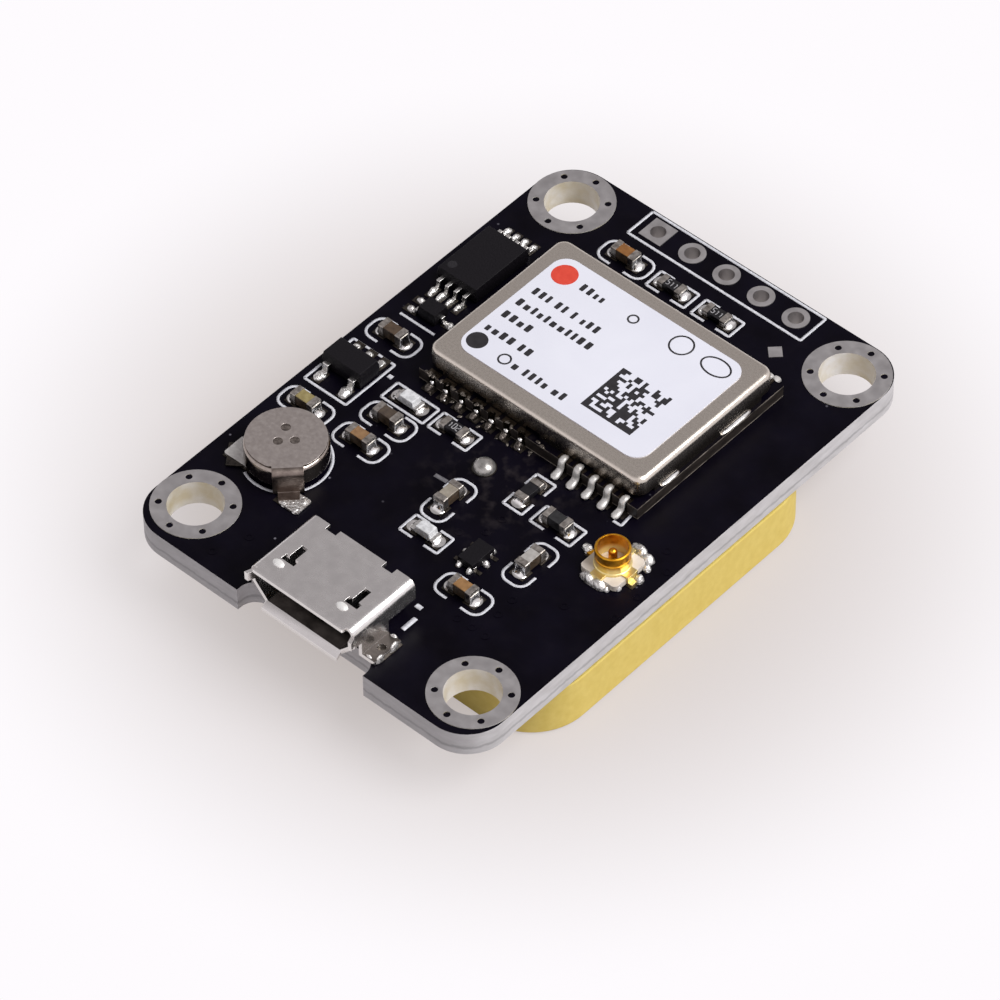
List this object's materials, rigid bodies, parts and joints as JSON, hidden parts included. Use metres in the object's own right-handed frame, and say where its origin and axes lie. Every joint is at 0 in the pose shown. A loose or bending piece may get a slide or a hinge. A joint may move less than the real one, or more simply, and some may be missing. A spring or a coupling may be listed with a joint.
{
  "type": "gps module",
  "caption": "Small dark circuit board with a shielded satellite receiver, micro USB socket, coaxial aerial socket, backup cell and mounting holes, over a ceramic patch aerial.",
  "frame": {"origin": "centre of the rectangle of mounting holes, on the top face of the circuit board", "axes": "+X along the board's short side, +Y towards the header row, +Z out of the component side"},
  "size_m": [0.0254, 0.0364, 0.0079],
  "materials": {
    "solder_mask": "glossy dark solder mask over glass laminate",
    "tin_plating": "dull tinned copper",
    "solder": "bright reflowed solder",
    "receiver_laminate": "dark laminate with a matt edge",
    "edge_gilding": "thin gilding, wetted with solder",
    "shield_sheet": "satin nickel-silver sheet",
    "label_film": "smooth white printed film",
    "chip_epoxy": "fine-grained black moulding compound",
    "inner_lids": "plain metal lids under the shield",
    "socket_steel": "tinned folded steel",
    "socket_insulator": "black moulded plastic",
    "contact_gilding": "bright gilding",
    "cell_steel": "drawn stainless steel",
    "cell_seal": "matt dark seal",
    "tab_steel": "rolled strip",
    "socket_base_plastic": "cream moulded plastic",
    "aerial_ceramic": "matt yellow fired ceramic",
    "aerial_silver": "matt fired silver",
    "aerial_adhesive": "pale adhesive tape",
    "lead_tin": "bright tin",
    "ceramic_brown": "fired brown ceramic",
    "ceramic_dark": "fired dark brown ceramic",
    "ceramic_tan": "fired tan ceramic",
    "ceramic_grey": "fired grey ceramic",
    "resistor_glaze": "black glaze",
    "inductor_ferrite": "dark ferrite",
    "lamp_lens": "milky clear resin"
  },
  "bodies": {
    "root": {"circuit_board": "solder_mask", "mounting_rings": "tin_plating", "header_pads": "tin_plating", "solder_lands": "tin_plating", "solder_joints": "solder", "receiver_board": "receiver_laminate", "receiver_pads": "edge_gilding", "receiver_shield": "shield_sheet", "receiver_label": "label_film", "receiver_chip": "chip_epoxy", "receiver_crystal": "inner_lids", "receiver_filter": "inner_lids", "usb_shell": "socket_steel", "usb_insulator": "socket_insulator", "usb_contacts": "contact_gilding", "cell_can": "cell_steel", "cell_gasket": "cell_seal", "cell_cap": "cell_steel", "cell_upper_tab": "tab_steel", "cell_lower_tab": "tab_steel", "socket_base": "socket_base_plastic", "socket_ring": "contact_gilding", "socket_pin": "contact_gilding", "aerial_ceramic": "aerial_ceramic", "aerial_patch": "aerial_silver", "aerial_ground": "aerial_silver", "aerial_tape": "aerial_adhesive", "aerial_pin": "lead_tin", "memory_chip": "chip_epoxy", "memory_leads": "lead_tin", "regulator": "chip_epoxy", "regulator_leads": "lead_tin", "transistor": "chip_epoxy", "transistor_leads": "lead_tin", "amplifier": "chip_epoxy", "amplifier_contacts": "lead_tin", "capacitor_1": "ceramic_brown", "capacitor_2": "ceramic_dark", "capacitor_3": "ceramic_tan", "capacitor_4": "ceramic_dark", "capacitor_5": "ceramic_brown", "capacitor_6": "ceramic_grey", "capacitor_7": "ceramic_grey", "capacitor_8": "ceramic_brown", "capacitor_caps": "lead_tin", "resistor_1": "resistor_glaze", "resistor_2": "resistor_glaze", "resistor_3": "resistor_glaze", "resistor_4": "resistor_glaze", "resistor_caps": "lead_tin", "inductor": "inductor_ferrite", "inductor_caps": "lead_tin", "lamp_1": "lamp_lens", "lamp_2": "lamp_lens", "lamp_caps": "edge_gilding"}
  },
  "joints": []
}
